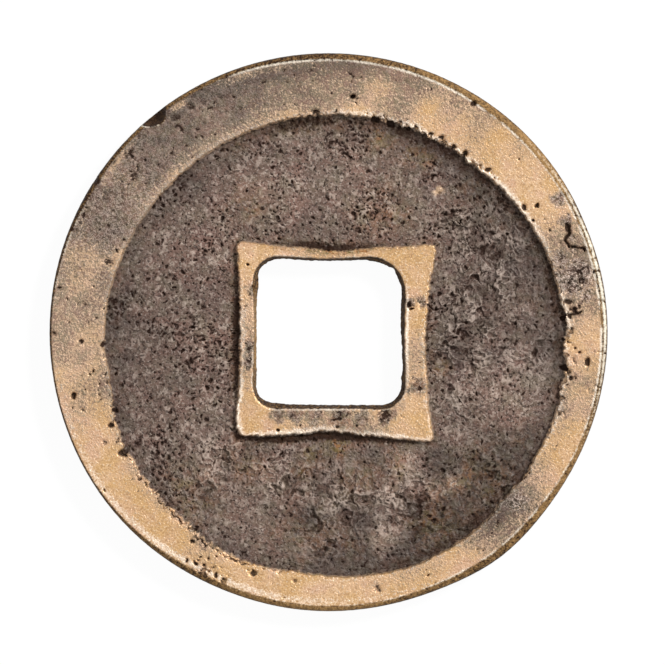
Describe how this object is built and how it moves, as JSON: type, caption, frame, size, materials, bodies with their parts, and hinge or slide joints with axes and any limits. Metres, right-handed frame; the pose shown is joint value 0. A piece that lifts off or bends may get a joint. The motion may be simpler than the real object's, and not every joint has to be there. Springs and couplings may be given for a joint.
{
  "type": "cash coin",
  "caption": "Round cast bronze coin with a square string hole, broad outer rim, narrow inner rim and sunken plain fields.",
  "frame": {"origin": "centre of the coin's outline, on the face that it rests on", "axes": "+Z out of the plain reverse face, +X to the right and +Y up as that face is seen from above"},
  "size_m": [0.025, 0.025, 0.0013],
  "materials": {
    "bronze": "worn cast bronze, tan on the raised rims and dark brown in the sunken fields"
  },
  "bodies": {
    "root": {"cash_coin": "bronze"}
  },
  "joints": []
}
